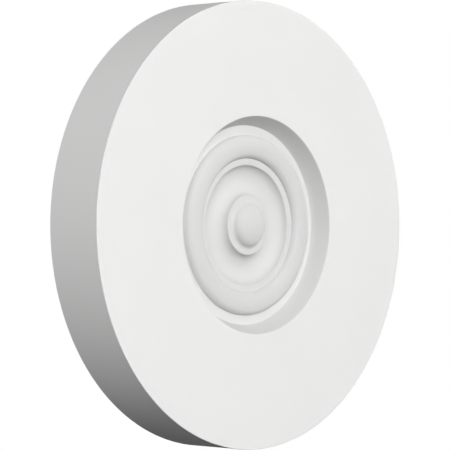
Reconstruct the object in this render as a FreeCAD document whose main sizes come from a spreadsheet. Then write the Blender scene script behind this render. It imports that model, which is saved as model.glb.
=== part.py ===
import FreeCAD, Part
import math
import os
import Sketcher

# Round corner rosette block: a thick disc of moulded trim, turned about one axis, with a bullseye
# sunk in its face. Upright as it is fixed to a wall: +Z up, face towards -Y, back in the plane y = 0.
# Millimetres throughout.

NODE = "rosette_block"

# Driving dimensions. Depths and heights run along the disc's axis, from the plane each form stands on.
SIZES = {
    "block_diameter": 177.8,
    "block_thickness": 25.4,
    "mouth_diameter": 86.5,
    "floor_diameter": 79.4,
    "recess_depth": 7.05,
    "bead_outer_diameter": 71.7,
    "bead_inner_diameter": 53.0,
    "bead_height": 3.5,
    "bead_crown_radius": 9.3,
    "bead_crown_width": 5.4,
    "bead_step": 0.5,
    "ledge_rise": 0.85,
    "cove_outer_diameter": 47.7,
    "cove_inner_diameter": 23.9,
    "cove_depth": 3.65,
    "cove_bottom_radius": 7.9,
    "cove_bottom_width": 7.2,
    "collar_rise": 0.5,
    "button_diameter": 17.8,
    "button_height": 4.1,
    "button_crown_radius": 17.6,
    "button_crown_width": 12.6,
    "button_foot_radius": 1.8,
    "eased_edge": 0.3,
}


class Run:
    """One line or arc of the section, with its ends and centre as the constraints name them."""

    def __init__(self, sketch, curve):
        self.index = sketch.addGeometry(curve)
        self.first = (self.index, 1)
        self.last = (self.index, 2)
        self.centre = (self.index, 3)


def add_sheet(doc):
    """The table of driving dimensions, one named cell each."""
    sheet = doc.addObject("Spreadsheet::Sheet", "Sizes")
    for row, (alias, value) in enumerate(SIZES.items(), start=1):
        sheet.set(f"A{row}", alias)
        sheet.set(f"B{row}", str(value))
        sheet.setAlias(f"B{row}", alias)
    doc.recompute()
    return sheet


def origin_plane(body, role):
    """One of the body's own origin planes."""
    return next(plane for plane in body.Origin.OriginFeatures if plane.Role == role)


def arc_about(centre, first, last):
    """The arc about a centre that runs anticlockwise from one point to another."""
    circle = Part.Circle(centre, FreeCAD.Vector(0, 0, 1), first.distanceToPoint(centre))
    angles = [math.atan2(end.y - centre.y, end.x - centre.x) for end in (first, last)]
    return Part.ArcOfCircle(circle, *angles)


def beside(centre, radius, across, rise):
    """Point of a round that lies across from its centre; rise is -1 towards the face, 1 towards the back."""
    return centre + FreeCAD.Vector(across, rise * math.sqrt(radius**2 - across**2), 0)


def side_centre(middle_centre, joint, foot):
    """Centre of the arc that leaves a middle arc smoothly at a joint and ends at a foot."""
    inward = (middle_centre - joint).normalize()
    reach = foot - joint
    return joint + inward * (reach.dot(reach) / (2 * inward.dot(reach)))


def draw_section(body, sheet):
    """Half of the section through the axis, from the back round the rim and over the bullseye."""
    sketch = body.newObject("Sketcher::SketchObject", "rosette_section")
    sketch.AttachmentSupport = [(origin_plane(body, "XY_Plane"), "")]
    sketch.MapMode = "FlatFace"

    # Levels along the axis, all in front of the back and so below zero
    face = -sheet.block_thickness
    floor = face + sheet.recess_depth
    ledge = floor - sheet.ledge_rise
    collar = ledge - sheet.collar_rise

    def point(diameter, level):
        return FreeCAD.Vector(diameter / 2, level, 0)

    def line(first, last):
        return Run(sketch, Part.LineSegment(first, last))

    def arc(centre, first, last):
        return Run(sketch, arc_about(centre, first, last))

    # Disc, flared recess and its floor
    back_centre = point(0, 0)
    back_edge = point(sheet.block_diameter, 0)
    face_edge = point(sheet.block_diameter, face)
    mouth = point(sheet.mouth_diameter, face)
    floor_edge = point(sheet.floor_diameter, floor)
    bead_outer = point(sheet.bead_outer_diameter, floor)
    back_line = line(back_centre, back_edge)
    rim_line = line(back_edge, face_edge)
    face_line = line(face_edge, mouth)
    flare_line = line(mouth, floor_edge)
    floor_line = line(floor_edge, bead_outer)

    # Bead: a short upright step at its outer foot, and a gently round crown between two tighter shoulders
    step_top = point(sheet.bead_outer_diameter, floor - sheet.bead_step)
    bead_inner = point(sheet.bead_inner_diameter, ledge)
    bead_centre = FreeCAD.Vector(
        (sheet.bead_outer_diameter + sheet.bead_inner_diameter) / 4,
        floor - sheet.bead_height + sheet.bead_crown_radius,
        0,
    )
    crown_outer = beside(bead_centre, sheet.bead_crown_radius, sheet.bead_crown_width / 2, -1)
    crown_inner = beside(bead_centre, sheet.bead_crown_radius, -sheet.bead_crown_width / 2, -1)
    step_line = line(bead_outer, step_top)
    bead_crown = arc(bead_centre, crown_inner, crown_outer)
    outer_shoulder = arc(side_centre(bead_centre, crown_outer, step_top), crown_outer, step_top)
    inner_shoulder = arc(side_centre(bead_centre, crown_inner, bead_inner), bead_inner, crown_inner)

    # Ledge, and a cove with a gently round bottom between two tighter sides
    cove_outer = point(sheet.cove_outer_diameter, ledge)
    cove_inner = point(sheet.cove_inner_diameter, collar)
    cove_centre = FreeCAD.Vector(
        (sheet.cove_outer_diameter + sheet.cove_inner_diameter) / 4,
        ledge + sheet.cove_depth - sheet.cove_bottom_radius,
        0,
    )
    bottom_outer = beside(cove_centre, sheet.cove_bottom_radius, sheet.cove_bottom_width / 2, 1)
    bottom_inner = beside(cove_centre, sheet.cove_bottom_radius, -sheet.cove_bottom_width / 2, 1)
    ledge_line = line(bead_inner, cove_outer)
    cove_bottom = arc(cove_centre, bottom_outer, bottom_inner)
    outer_side = arc(side_centre(cove_centre, bottom_outer, cove_outer), cove_outer, bottom_outer)
    inner_side = arc(side_centre(cove_centre, bottom_inner, cove_inner), bottom_inner, cove_inner)

    # Collar, a little higher than the ledge, and the button, down to the axis and back to the start
    button_edge = point(sheet.button_diameter, collar)
    button_apex = point(0, collar - sheet.button_height)
    button_centre = button_apex + FreeCAD.Vector(0, sheet.button_crown_radius, 0)
    cap_edge = beside(button_centre, sheet.button_crown_radius, sheet.button_crown_width / 2, -1)
    collar_line = line(cove_inner, button_edge)
    button_cap = arc(button_centre, button_apex, cap_edge)
    button_side = arc(side_centre(button_centre, cap_edge, button_edge), cap_edge, button_edge)
    axis_line = line(button_apex, back_centre)

    origin = (-1, 1)
    upright_axis = -2
    corners = [
        (back_line.last, rim_line.first),
        (rim_line.last, face_line.first),
        (face_line.last, flare_line.first),
        (flare_line.last, floor_line.first),
        (floor_line.last, step_line.first),
        (step_line.last, outer_shoulder.last),
        (inner_shoulder.first, ledge_line.first),
        (ledge_line.last, outer_side.first),
        (inner_side.last, collar_line.first),
        (collar_line.last, button_side.last),
        (button_cap.first, axis_line.first),
        (axis_line.last, back_line.first),
        (back_line.first, origin),
    ]
    for one, other in corners:
        sketch.addConstraint(Sketcher.Constraint("Coincident", *one, *other))
    smooth_joints = [
        (bead_crown.last, outer_shoulder.first),
        (inner_shoulder.last, bead_crown.first),
        (outer_side.last, cove_bottom.first),
        (cove_bottom.last, inner_side.first),
        (button_cap.last, button_side.first),
    ]
    for one, other in smooth_joints:
        sketch.addConstraint(Sketcher.Constraint("Tangent", *one, *other))
    for level_line in (back_line, face_line, floor_line, ledge_line, collar_line):
        sketch.addConstraint(Sketcher.Constraint("Horizontal", level_line.index))
    for axial_line in (rim_line, step_line, axis_line):
        sketch.addConstraint(Sketcher.Constraint("Vertical", axial_line.index))
    sketch.addConstraint(Sketcher.Constraint("PointOnObject", *button_cap.centre, upright_axis))

    def hold(name, constraint, formula):
        index = sketch.addConstraint(constraint)
        sketch.renameConstraint(index, name)
        sketch.setExpression("Constraints." + name, formula)

    def hold_across(name, spot, place, formula):
        hold(name, Sketcher.Constraint("DistanceX", *origin, *spot, place.x), formula)

    def hold_level(name, spot, place, formula):
        hold(name, Sketcher.Constraint("DistanceY", *spot, *origin, -place.y), formula)

    def hold_round(name, run, radius, formula):
        hold(name, Sketcher.Constraint("Radius", run.index, radius), formula)

    # Distances from the axis
    bead_middle = "(Sizes.bead_outer_diameter + Sizes.bead_inner_diameter) / 4"
    cove_middle = "(Sizes.cove_outer_diameter + Sizes.cove_inner_diameter) / 4"
    half_crown = "Sizes.bead_crown_width / 2"
    half_bottom = "Sizes.cove_bottom_width / 2"
    hold_across("rim_across", back_line.last, back_edge, "Sizes.block_diameter / 2")
    hold_across("mouth_across", face_line.last, mouth, "Sizes.mouth_diameter / 2")
    hold_across("floor_across", flare_line.last, floor_edge, "Sizes.floor_diameter / 2")
    hold_across("bead_outer_across", floor_line.last, bead_outer, "Sizes.bead_outer_diameter / 2")
    hold_across("crown_outer_across", bead_crown.last, crown_outer, f"{bead_middle} + {half_crown}")
    hold_across("bead_centre_across", bead_crown.centre, bead_centre, bead_middle)
    hold_across("crown_inner_across", bead_crown.first, crown_inner, f"{bead_middle} - {half_crown}")
    hold_across("bead_inner_across", ledge_line.first, bead_inner, "Sizes.bead_inner_diameter / 2")
    hold_across("cove_outer_across", ledge_line.last, cove_outer, "Sizes.cove_outer_diameter / 2")
    hold_across("bottom_outer_across", cove_bottom.first, bottom_outer, f"{cove_middle} + {half_bottom}")
    hold_across("cove_centre_across", cove_bottom.centre, cove_centre, cove_middle)
    hold_across("bottom_inner_across", cove_bottom.last, bottom_inner, f"{cove_middle} - {half_bottom}")
    hold_across("cove_inner_across", collar_line.first, cove_inner, "Sizes.cove_inner_diameter / 2")
    hold_across("button_across", collar_line.last, button_edge, "Sizes.button_diameter / 2")
    hold_across("cap_across", button_cap.last, cap_edge, "Sizes.button_crown_width / 2")

    # Levels in front of the back
    floor_level = "Sizes.block_thickness - Sizes.recess_depth"
    ledge_level = f"{floor_level} + Sizes.ledge_rise"
    bead_level = f"{floor_level} + Sizes.bead_height - Sizes.bead_crown_radius"
    cove_level = f"{ledge_level} - Sizes.cove_depth + Sizes.cove_bottom_radius"
    collar_level = f"{ledge_level} + Sizes.collar_rise"
    hold_level("face_level", rim_line.last, face_edge, "Sizes.block_thickness")
    hold_level("floor_level", flare_line.last, floor_edge, floor_level)
    hold_level("step_level", step_line.last, step_top, f"{floor_level} + Sizes.bead_step")
    hold_level("bead_centre_level", bead_crown.centre, bead_centre, bead_level)
    hold_level("ledge_level", ledge_line.last, cove_outer, ledge_level)
    hold_level("cove_centre_level", cove_bottom.centre, cove_centre, cove_level)
    hold_level("collar_level", collar_line.last, button_edge, collar_level)
    hold_level("apex_level", axis_line.first, button_apex, f"{collar_level} + Sizes.button_height")

    # Rounds of the crown, the cove's bottom and the button's cap
    hold_round("crown_round", bead_crown, sheet.bead_crown_radius, "Sizes.bead_crown_radius")
    hold_round("bottom_round", cove_bottom, sheet.cove_bottom_radius, "Sizes.cove_bottom_radius")
    hold_round("cap_round", button_cap, sheet.button_crown_radius, "Sizes.button_crown_radius")
    return sketch


def turn(body, sketch):
    """The section turned once about the disc's axis."""
    turned = body.newObject("PartDesign::Revolution", "turned_disc")
    turned.Profile = sketch
    turned.ReferenceAxis = (sketch, ["V_Axis"])
    turned.Angle = 360
    return turned


def round_edge(shape, diameter, level):
    """Name of the round edge with this diameter and this level along the axis."""
    tolerance = 1e-4
    for number, edge in enumerate(shape.Edges, start=1):
        if edge.Degenerated or not isinstance(edge.Curve, Part.Circle):
            continue
        same_size = abs(edge.Curve.Radius - diameter / 2) < tolerance
        same_level = abs(edge.Curve.Center.y - level) < tolerance
        if same_size and same_level:
            return f"Edge{number}"
    raise ValueError(f"no round edge of diameter {diameter} at {level}")


def soften(body, kind, name, base, edges, setting, size):
    """A fillet or chamfer along named edges of the last feature, bound to a size of the table."""
    softened = body.newObject(f"PartDesign::{kind}", name)
    softened.Base = (base, edges)
    softened.setExpression(setting, f"Sizes.{size}")
    return softened


def check(doc, body):
    """Stops before anything is written if an object failed or the solid is unsound."""
    for item in doc.Objects:
        if "Invalid" in item.State or "Error" in item.State:
            raise RuntimeError(f"{item.Name} failed: {item.State}")
    if body.Shape.isNull() or not body.Shape.isValid():
        raise RuntimeError("the block's solid is not sound")
    if len(body.Shape.Solids) != 1:
        raise RuntimeError("the block is not one solid")


doc = FreeCAD.newDocument("corner_rosette_block")
sheet = add_sheet(doc)
face = -sheet.block_thickness
collar = face + sheet.recess_depth - sheet.ledge_rise - sheet.collar_rise
body = doc.addObject("PartDesign::Body", NODE)
body.Label = NODE
section = draw_section(body, sheet)
doc.recompute()
turned = turn(body, section)
doc.recompute()

# The button's side runs out into the collar in a small hollow
foot_edge = round_edge(turned.Shape, sheet.button_diameter, collar)
footed = soften(body, "Fillet", "button_foot", turned, [foot_edge], "Radius", "button_foot_radius")
doc.recompute()

# A narrow flat eases the face's two open edges, at the rim and at the mouth
rim_edge = round_edge(footed.Shape, sheet.block_diameter, face)
mouth_edge = round_edge(footed.Shape, sheet.mouth_diameter, face)
soften(body, "Chamfer", "eased_edges", footed, [rim_edge, mouth_edge], "Size", "eased_edge")
doc.recompute()
body.Placement = FreeCAD.Placement()
doc.recompute()
check(doc, body)

os.makedirs("parts", exist_ok=True)
body.Shape.exportStep(f"parts/{body.Label}.step")
print(f"{body.Label}: {body.Shape.Volume / 1000:.1f} cm3")
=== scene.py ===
import math

import bmesh
import bpy
from mathutils import Matrix, Vector


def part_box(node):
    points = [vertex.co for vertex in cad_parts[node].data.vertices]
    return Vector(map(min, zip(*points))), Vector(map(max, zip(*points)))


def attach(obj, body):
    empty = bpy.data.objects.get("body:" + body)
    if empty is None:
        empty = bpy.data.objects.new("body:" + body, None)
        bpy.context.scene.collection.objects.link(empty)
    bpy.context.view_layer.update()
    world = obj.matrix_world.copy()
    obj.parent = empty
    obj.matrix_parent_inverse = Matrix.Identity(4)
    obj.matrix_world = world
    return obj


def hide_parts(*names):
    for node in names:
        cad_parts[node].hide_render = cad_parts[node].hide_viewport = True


# A round corner rosette block: one thick disc of white moulded trim with a bullseye turned into its face.
# Metres, in the frame of the solid: +Z up, face towards -Y, back in the plane y = 0.
# Sizes named outer, inner and edge are distances from the disc's axis.

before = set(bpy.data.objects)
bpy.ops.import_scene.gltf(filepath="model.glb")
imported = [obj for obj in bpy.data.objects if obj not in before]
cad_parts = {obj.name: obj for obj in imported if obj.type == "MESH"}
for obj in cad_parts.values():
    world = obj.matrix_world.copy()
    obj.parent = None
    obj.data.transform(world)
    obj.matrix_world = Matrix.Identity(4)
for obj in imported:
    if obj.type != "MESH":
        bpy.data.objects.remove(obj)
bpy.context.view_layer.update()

# Sizes of the disc, taken from the frame; the margin keeps the turned rim inside the solid's box
BOX_MARGIN = 0.00001
low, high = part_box("rosette_block")
RIM_RADIUS = min(high.x, high.z, -low.x, -low.z) - BOX_MARGIN
BACK = high.y
FACE = low.y

# Flared recess, from its mouth in the face to its flat floor
MOUTH_RADIUS = 0.04325
RECESS_DEPTH = 0.00705
FLOOR_RADIUS = 0.0397
FLOOR = FACE + RECESS_DEPTH

# Bead raised on the floor
BEAD_OUTER = 0.03585
BEAD_INNER = 0.0265
BEAD_HEIGHT = 0.0035
BEAD_STEP = 0.0005
BEAD_CROWN_RADIUS = 0.0093
BEAD_CROWN_WIDTH = 0.0054

# Ledge a little above the floor, and the cove sunk below the ledge
LEDGE_HEIGHT = 0.00085
LEDGE = FLOOR - LEDGE_HEIGHT
COVE_OUTER = 0.02385
COVE_INNER = 0.01195
COVE_DEPTH = 0.00365
COVE_BOTTOM_RADIUS = 0.0079
COVE_BOTTOM_WIDTH = 0.0072

# Collar a little above the ledge, and the button raised on the collar
COLLAR_HEIGHT = 0.0005
COLLAR = LEDGE - COLLAR_HEIGHT
BUTTON_EDGE = 0.0089
BUTTON_HEIGHT = 0.0041
BUTTON_CROWN_RADIUS = 0.0176
BUTTON_CROWN_WIDTH = 0.0126
BUTTON_FOOT_RADIUS = 0.0018

# Which way a round bulges in the half section
TO_FACE = -1
TO_BACK = 1

# Fineness of the turning, and the easing of its outer arrises
TURN_STEPS = 360
ARC_STEPS = 10
EDGE_MARGIN = 0.0005
MERGE_DISTANCE = 1e-7
CREASE = math.radians(30)
EASED_EDGE = 0.0002
EASE_SEGMENTS = 3

# Colours of the trim's skin; the last one is painted shade that multiplies the others inside the recess
DULL_WHITE = (0.815, 0.815, 0.81, 1)
CLEAR_WHITE = (0.865, 0.865, 0.86, 1)
PAINTED_RECESS_SHADE = (0.845, 0.845, 0.845, 1)

# Stage: the floor under the block, and the camera
PURE_WHITE = (1, 1, 1, 1)
STAGE_PALE = (0.9, 0.9, 0.9, 1)
STAGE_DIM = (0.05, 0.05, 0.05, 1)
STAGE_WHITENESS = 0.45
STAGE_LEVEL = -0.15
STAGE_RADIUS = 0.5
STAGE_SIDES = 96
CAMERA_PLACE = (-0.6984, -0.6597, 0)
CAMERA_TURN = math.radians(-46.944)
CAMERA_LENS = 190.32
CAMERA_SENSOR = 36


def at(across, level):
    """A place in the half section: distance from the axis, and level between face and back."""
    return Vector((across, level, 0))


def beside(centre, radius, across, bulge):
    """The point of a round that lies across from its centre, on the side that it bulges to."""
    return centre + at(across, bulge * math.sqrt(radius**2 - across**2))


def side_centre(middle_centre, joint, foot):
    """Centre of the arc that leaves a middle arc smoothly at a joint and ends at a foot."""
    inward = (middle_centre - joint).normalized()
    reach = foot - joint
    return joint + inward * (reach.length_squared / (2 * inward.dot(reach)))


class Pen:
    """Draws the half section as a chain of edges that grows at its tip."""

    def __init__(self, bm, start):
        self.bm = bm
        self.tip = bmesh.ops.create_vert(bm, co=start)["vert"][0]

    def step(self, place):
        """A single edge."""
        grown = bmesh.ops.extrude_vert_indiv(self.bm, verts=[self.tip])
        self.tip = grown["verts"][0]
        self.tip.co = place

    def line(self, end):
        """A straight run, with a stop near each end that keeps the flat between them flat."""
        start = self.tip.co.copy()
        margin = (end - start).normalized() * EDGE_MARGIN
        for place in (start + margin, end - margin, end):
            self.step(place)

    def arc(self, centre, end):
        """A round run about a centre, the short way."""
        first = self.tip.co - centre
        last = end - centre
        swept = bmesh.ops.spin(
            self.bm,
            geom=[self.tip],
            cent=centre,
            axis=(0, 0, 1),
            angle=math.atan2(first.cross(last).z, first.dot(last)),
            steps=ARC_STEPS,
        )
        self.tip = next(part for part in swept["geom_last"] if isinstance(part, bmesh.types.BMVert))

    def swell(self, centre, radius, width, bulge, end):
        """A gently round middle of the given width, between two tighter sides that meet it smoothly."""
        start = self.tip.co.copy()
        outer_joint = beside(centre, radius, width / 2, bulge)
        inner_joint = beside(centre, radius, -width / 2, bulge)
        self.arc(side_centre(centre, outer_joint, start), outer_joint)
        self.arc(centre, inner_joint)
        self.arc(side_centre(centre, inner_joint, end), end)


def draw_section(bm):
    """Half of the section, from the middle of the back round the rim and over the bullseye to the axis."""
    pen = Pen(bm, at(0, BACK))
    pen.line(at(RIM_RADIUS, BACK))
    pen.line(at(RIM_RADIUS, FACE))
    pen.line(at(MOUTH_RADIUS, FACE))
    pen.line(at(FLOOR_RADIUS, FLOOR))
    pen.line(at(BEAD_OUTER, FLOOR))

    # Bead: a short upright step at its outer foot, and a round that bulges to the face
    bead_centre = at((BEAD_OUTER + BEAD_INNER) / 2, FLOOR - BEAD_HEIGHT + BEAD_CROWN_RADIUS)
    pen.step(at(BEAD_OUTER, FLOOR - BEAD_STEP))
    pen.swell(bead_centre, BEAD_CROWN_RADIUS, BEAD_CROWN_WIDTH, TO_FACE, at(BEAD_INNER, LEDGE))

    # Ledge, then the cove: a round that bulges to the back
    cove_centre = at((COVE_OUTER + COVE_INNER) / 2, LEDGE + COVE_DEPTH - COVE_BOTTOM_RADIUS)
    pen.line(at(COVE_OUTER, LEDGE))
    pen.swell(cove_centre, COVE_BOTTOM_RADIUS, COVE_BOTTOM_WIDTH, TO_BACK, at(COVE_INNER, COLLAR))

    # Collar, then the button: a hollow foot, a tight side and a gently round cap
    apex = at(0, COLLAR - BUTTON_HEIGHT)
    cap_centre = apex + at(0, BUTTON_CROWN_RADIUS)
    cap_edge = beside(cap_centre, BUTTON_CROWN_RADIUS, BUTTON_CROWN_WIDTH / 2, TO_FACE)
    button_edge = at(BUTTON_EDGE, COLLAR)
    round_centre = side_centre(cap_centre, cap_edge, button_edge)
    round_radius = (button_edge - round_centre).length
    foot_level = COLLAR - BUTTON_FOOT_RADIUS
    foot_reach = round_radius + BUTTON_FOOT_RADIUS
    foot_across = round_centre.x + math.sqrt(foot_reach**2 - (foot_level - round_centre.y) ** 2)
    foot_centre = at(foot_across, foot_level)
    foot_top = round_centre.lerp(foot_centre, round_radius / foot_reach)
    pen.line(at(foot_across, COLLAR))
    pen.arc(foot_centre, foot_top)
    pen.arc(round_centre, cap_edge)
    pen.arc(cap_centre, apex)


def put(name, data):
    """A new object in the scene, at the origin."""
    thing = bpy.data.objects.new(name, data)
    bpy.context.scene.collection.objects.link(thing)
    return thing


def put_mesh(name, bm):
    """A new object in the scene with the finished shape of a bmesh."""
    mesh = bpy.data.meshes.new(name)
    bm.to_mesh(mesh)
    bm.free()
    return put(name, mesh)


def turn_block():
    """The section turned about the disc's axis, with its outer arrises slightly eased."""
    bm = bmesh.new()
    draw_section(bm)
    bmesh.ops.spin(
        bm,
        geom=bm.verts[:] + bm.edges[:],
        cent=(0, 0, 0),
        axis=(0, 1, 0),
        angle=math.tau,
        steps=TURN_STEPS,
        use_merge=True,
    )
    bmesh.ops.remove_doubles(bm, verts=bm.verts, dist=MERGE_DISTANCE)
    bmesh.ops.recalc_face_normals(bm, faces=bm.faces)
    arrises = [edge for edge in bm.edges if edge.is_convex and edge.calc_face_angle() > CREASE]
    bmesh.ops.bevel(
        bm,
        geom=arrises,
        offset=EASED_EDGE,
        offset_type="OFFSET",
        segments=EASE_SEGMENTS,
        profile=0.5,
        affect="EDGES",
        material=-1,
    )
    for face in bm.faces:
        face.smooth = True
    for edge in bm.edges:
        edge.smooth = edge.calc_face_angle() < CREASE
    return put_mesh("turned_block", bm)


class Socket:
    """An output of a node. Sums, products and comparisons with it add Math nodes to its tree."""

    def __init__(self, shades, output):
        self.shades = shades
        self.output = output

    def reckon(self, operation, first, second):
        """Adds a Math node for two sockets or numbers."""
        return self.shades.node("ShaderNodeMath", {"operation": operation}, {0: first, 1: second})

    def __add__(self, other):
        return self.reckon("ADD", self, other)

    def __radd__(self, other):
        return self.reckon("ADD", other, self)

    def __mul__(self, other):
        return self.reckon("MULTIPLY", self, other)

    def __rmul__(self, other):
        return self.reckon("MULTIPLY", other, self)

    def __lt__(self, other):
        return self.reckon("LESS_THAN", self, other)

    def __gt__(self, other):
        return self.reckon("GREATER_THAN", self, other)


class Shades:
    """The node tree of a material or world, emptied and then filled one node at a time."""

    # Sockets of a Mix node that is set to colours
    FIRST_COLOUR = 6
    SECOND_COLOUR = 7
    MIXED_COLOUR = 2

    def __init__(self, owner):
        owner.use_nodes = True
        self.tree = owner.node_tree
        self.tree.nodes.clear()

    def node(self, kind, settings, sockets, output=0):
        """Adds a node: its settings first, then the values or links of its sockets."""
        node = self.tree.nodes.new(kind)
        for name, setting in settings.items():
            setattr(node, name, setting)
        for name, value in sockets.items():
            if isinstance(value, Socket):
                self.tree.links.new(value.output, node.inputs[name])
            else:
                node.inputs[name].default_value = value
        return Socket(self, node.outputs[output]) if node.outputs else None

    def blend(self, way, factor, first, second):
        """Adds a Mix node for two colours."""
        settings = {"data_type": "RGBA", "blend_type": way}
        sockets = {"Factor": factor, self.FIRST_COLOUR: first, self.SECOND_COLOUR: second}
        return self.node("ShaderNodeMix", settings, sockets, self.MIXED_COLOUR)


def white_trim():
    """White moulded trim: a matte skin with faint clouding, fine specks, a slight eggshell grain, and
    painted shade in the recess.
    """
    finish = bpy.data.materials.new("white_trim")
    shades = Shades(finish)
    place = shades.node("ShaderNodeTexCoord", {}, {}, "Object")

    def noise(scale, detail):
        sockets = {"Vector": place, "Scale": scale, "Detail": detail}
        return shades.node("ShaderNodeTexNoise", {}, sockets, "Fac")

    clouding = noise(scale=24, detail=2)
    specks = noise(scale=700, detail=3)
    grain = noise(scale=1900, detail=2)
    tint = shades.blend("MIX", 0.7 * clouding + 0.3 * specks, DULL_WHITE, CLEAR_WHITE)

    # Painted shade: the skin is made greyer in the recess, within the mouth's radius but not on the back
    without_depth = (1, 0, 1)
    spoke = shades.node(
        "ShaderNodeVectorMath",
        {"operation": "MULTIPLY"},
        {0: place, 1: without_depth},
        "Vector",
    )
    across = shades.node("ShaderNodeVectorMath", {"operation": "LENGTH"}, {0: spoke}, "Value")
    within_mouth = shades.node(
        "ShaderNodeMapRange",
        {},
        {
            "Value": across,
            "From Min": MOUTH_RADIUS - EASED_EDGE,
            "From Max": MOUTH_RADIUS + EASED_EDGE,
            "To Min": 1,
            "To Max": 0,
        },
    )
    level = shades.node("ShaderNodeSeparateXYZ", {}, {"Vector": place}, "Y")
    off_back = level < BACK - EDGE_MARGIN
    # Painted shade multiplies the tint darker inside the recess
    colour = shades.blend("MULTIPLY", within_mouth * off_back, tint, PAINTED_RECESS_SHADE)

    relief = shades.node(
        "ShaderNodeBump",
        {},
        {"Strength": 0.12, "Distance": 0.0001, "Height": grain},
    )
    skin = shades.node(
        "ShaderNodeBsdfPrincipled",
        {},
        {
            "Base Color": colour,
            "Roughness": 0.62 + 0.12 * specks,
            "Specular IOR Level": 0.1,
            "Normal": relief,
        },
    )
    shades.node("ShaderNodeOutputMaterial", {}, {"Surface": skin})
    return finish


def seen_directly(shades):
    """1 on rays from the camera, from gloss and through clear material, 0 on all other rays."""

    def ray(name):
        return shades.node("ShaderNodeLightPath", {}, {}, name)

    return ray("Is Camera Ray") + ray("Is Glossy Ray") + ray("Is Transmission Ray")


def light_room():
    """A surround that looks white and gives matte surfaces no light."""
    room = bpy.data.worlds.new("white_room")
    shades = Shades(room)
    white = shades.node(
        "ShaderNodeBackground",
        {},
        {"Color": PURE_WHITE, "Strength": seen_directly(shades)},
    )
    shades.node("ShaderNodeOutputWorld", {}, {"Surface": white})
    bpy.context.scene.world = room


def soft_lamp(name, tilt, turn, share, distance=8, spread=0.5):
    """A round lamp aimed at the block.

    tilt is the angle from the face's axis, and turn the angle about it from +X towards +Z, in degrees.
    share is how bright the lamp alone makes a white surface that faces it, where 1 is white.
    spread is the lamp's width for each metre of its distance.
    """
    tilt = math.radians(tilt)
    turn = math.radians(turn)
    aside = math.sin(tilt)
    towards = Vector((aside * math.cos(turn), -math.cos(tilt), aside * math.sin(turn)))
    lamp = bpy.data.lights.new(name, "AREA")
    lamp.shape = "DISK"
    lamp.size = spread * distance
    lamp.energy = share * (math.pi * distance) ** 2
    holder = put(name, lamp)
    holder.location = towards * distance
    holder.rotation_euler = towards.to_track_quat("Z", "Y").to_euler()


def lay_floor():
    """A pale round floor below the block, small enough to stay under the picture.

    Seen directly it is pale, in part plain white. To other rays it is dim, so it hardly lights the block.
    """
    bm = bmesh.new()
    bmesh.ops.create_circle(
        bm,
        cap_ends=True,
        segments=STAGE_SIDES,
        radius=STAGE_RADIUS,
        matrix=Matrix.Translation((0, 0, STAGE_LEVEL)),
    )
    floor = put_mesh("floor", bm)
    finish = bpy.data.materials.new("pale_floor")
    shades = Shades(finish)
    pale = shades.node("ShaderNodeBsdfDiffuse", {}, {"Color": STAGE_PALE})
    dim = shades.node("ShaderNodeBsdfDiffuse", {}, {"Color": STAGE_DIM})
    white = shades.node("ShaderNodeEmission", {}, {"Color": PURE_WHITE, "Strength": 1})
    bright = shades.node("ShaderNodeMixShader", {}, {0: STAGE_WHITENESS, 1: pale, 2: white})
    shown = shades.node("ShaderNodeMixShader", {}, {0: seen_directly(shades), 1: dim, 2: bright})
    shades.node("ShaderNodeOutputMaterial", {}, {"Surface": shown})
    floor.data.materials.append(finish)


def place_camera():
    """Level with the block's middle and well to its left, with a long lens."""
    camera = bpy.data.cameras.new("camera")
    camera.lens = CAMERA_LENS
    camera.sensor_width = CAMERA_SENSOR
    holder = put("camera", camera)
    holder.location = CAMERA_PLACE
    holder.rotation_euler = (math.radians(90), 0, CAMERA_TURN)
    bpy.context.scene.camera = holder


block = turn_block()
block.data.materials.append(white_trim())
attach(block, "root")
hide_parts("rosette_block")

light_room()
soft_lamp("front_lamp", tilt=15, turn=60, share=0.38)
soft_lamp("front_left_lamp", tilt=30, turn=150, share=0.66, distance=2.5)
soft_lamp("top_lamp", tilt=45, turn=67, share=0.095)
soft_lamp("left_lamp", tilt=95, turn=155, share=0.21)
soft_lamp("right_lamp", tilt=88, turn=350, share=0.38)
soft_lamp("rear_left_lamp", tilt=120, turn=180, share=0.178)
soft_lamp("back_lamp", tilt=180, turn=0, share=0.8, spread=0.1)
lay_floor()
place_camera()
bpy.context.scene.view_settings.view_transform = "Standard"
